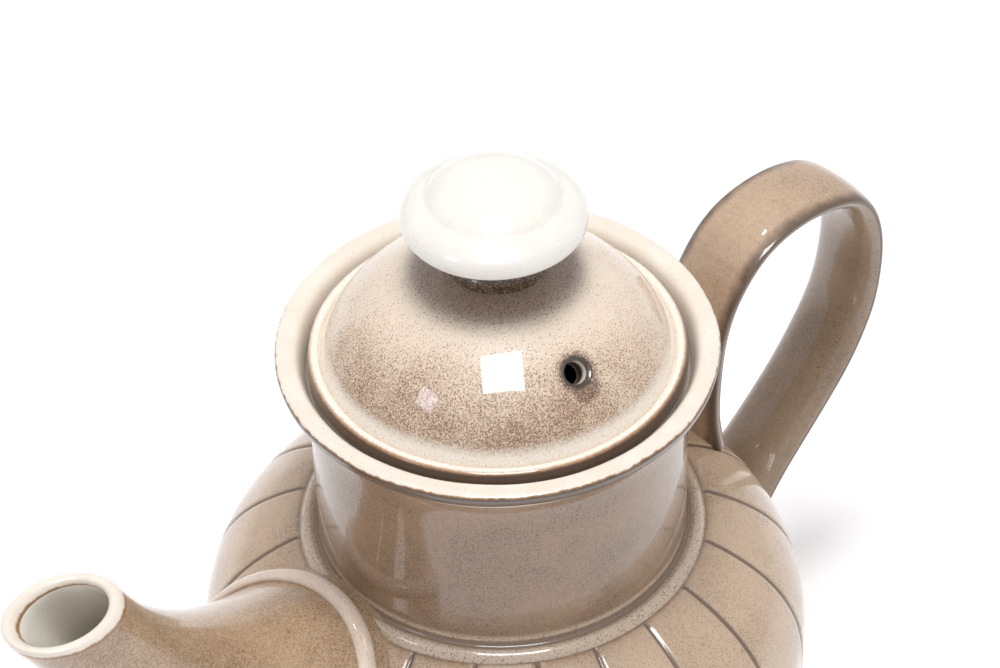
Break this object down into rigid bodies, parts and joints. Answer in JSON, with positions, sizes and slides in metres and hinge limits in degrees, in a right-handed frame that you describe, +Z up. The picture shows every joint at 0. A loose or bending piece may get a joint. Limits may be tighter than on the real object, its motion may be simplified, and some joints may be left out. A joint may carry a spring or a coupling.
{
  "type": "teapot with infuser",
  "caption": "Round-bellied stoneware teapot with a tall collar neck, level-cut spout, strap handle, knobbed domed lid and a hanging basket infuser.",
  "frame": {"origin": "on the table surface, under the middle of the length from spout tip to handle", "axes": "+Z up along the pot's axis, +X towards the handle, spout on -X"},
  "size_m": [0.2332, 0.1378, 0.1716],
  "materials": {
    "tan_glaze": "glossy speckled tan glaze",
    "brown_glaze": "glossy speckled brown glaze",
    "cream_glaze": "glossy cream glaze",
    "bare_clay": "unglazed fired stoneware",
    "steel": "satin stainless steel",
    "silicone": "matt food-grade silicone"
  },
  "bodies": {
    "pot": {"body_bowl": "tan_glaze", "body_shoulder": "tan_glaze", "foot_ring": "bare_clay", "neck_collar": "brown_glaze", "neck_bead": "tan_glaze", "spout": "brown_glaze", "spout_bead": "tan_glaze", "handle_strap": "tan_glaze"},
    "infuser": {"infuser_rim": "steel", "infuser_gasket": "silicone", "infuser_wall": "steel", "infuser_hoop": "steel", "infuser_base": "steel"},
    "lid": {"lid_cover": "tan_glaze", "lid_skirt": "cream_glaze", "knob_stem": "brown_glaze", "knob": "cream_glaze"}
  },
  "joints": [
    {"name": "infuser_lift", "type": "slide", "parent": "pot", "child": "infuser", "axis": [0, 0, 1], "range_m": [0, 0.1]},
    {"name": "lid_lift", "type": "slide", "parent": "infuser", "child": "lid", "axis": [0, 0, 1], "range_m": [0, 0.06]}
  ]
}
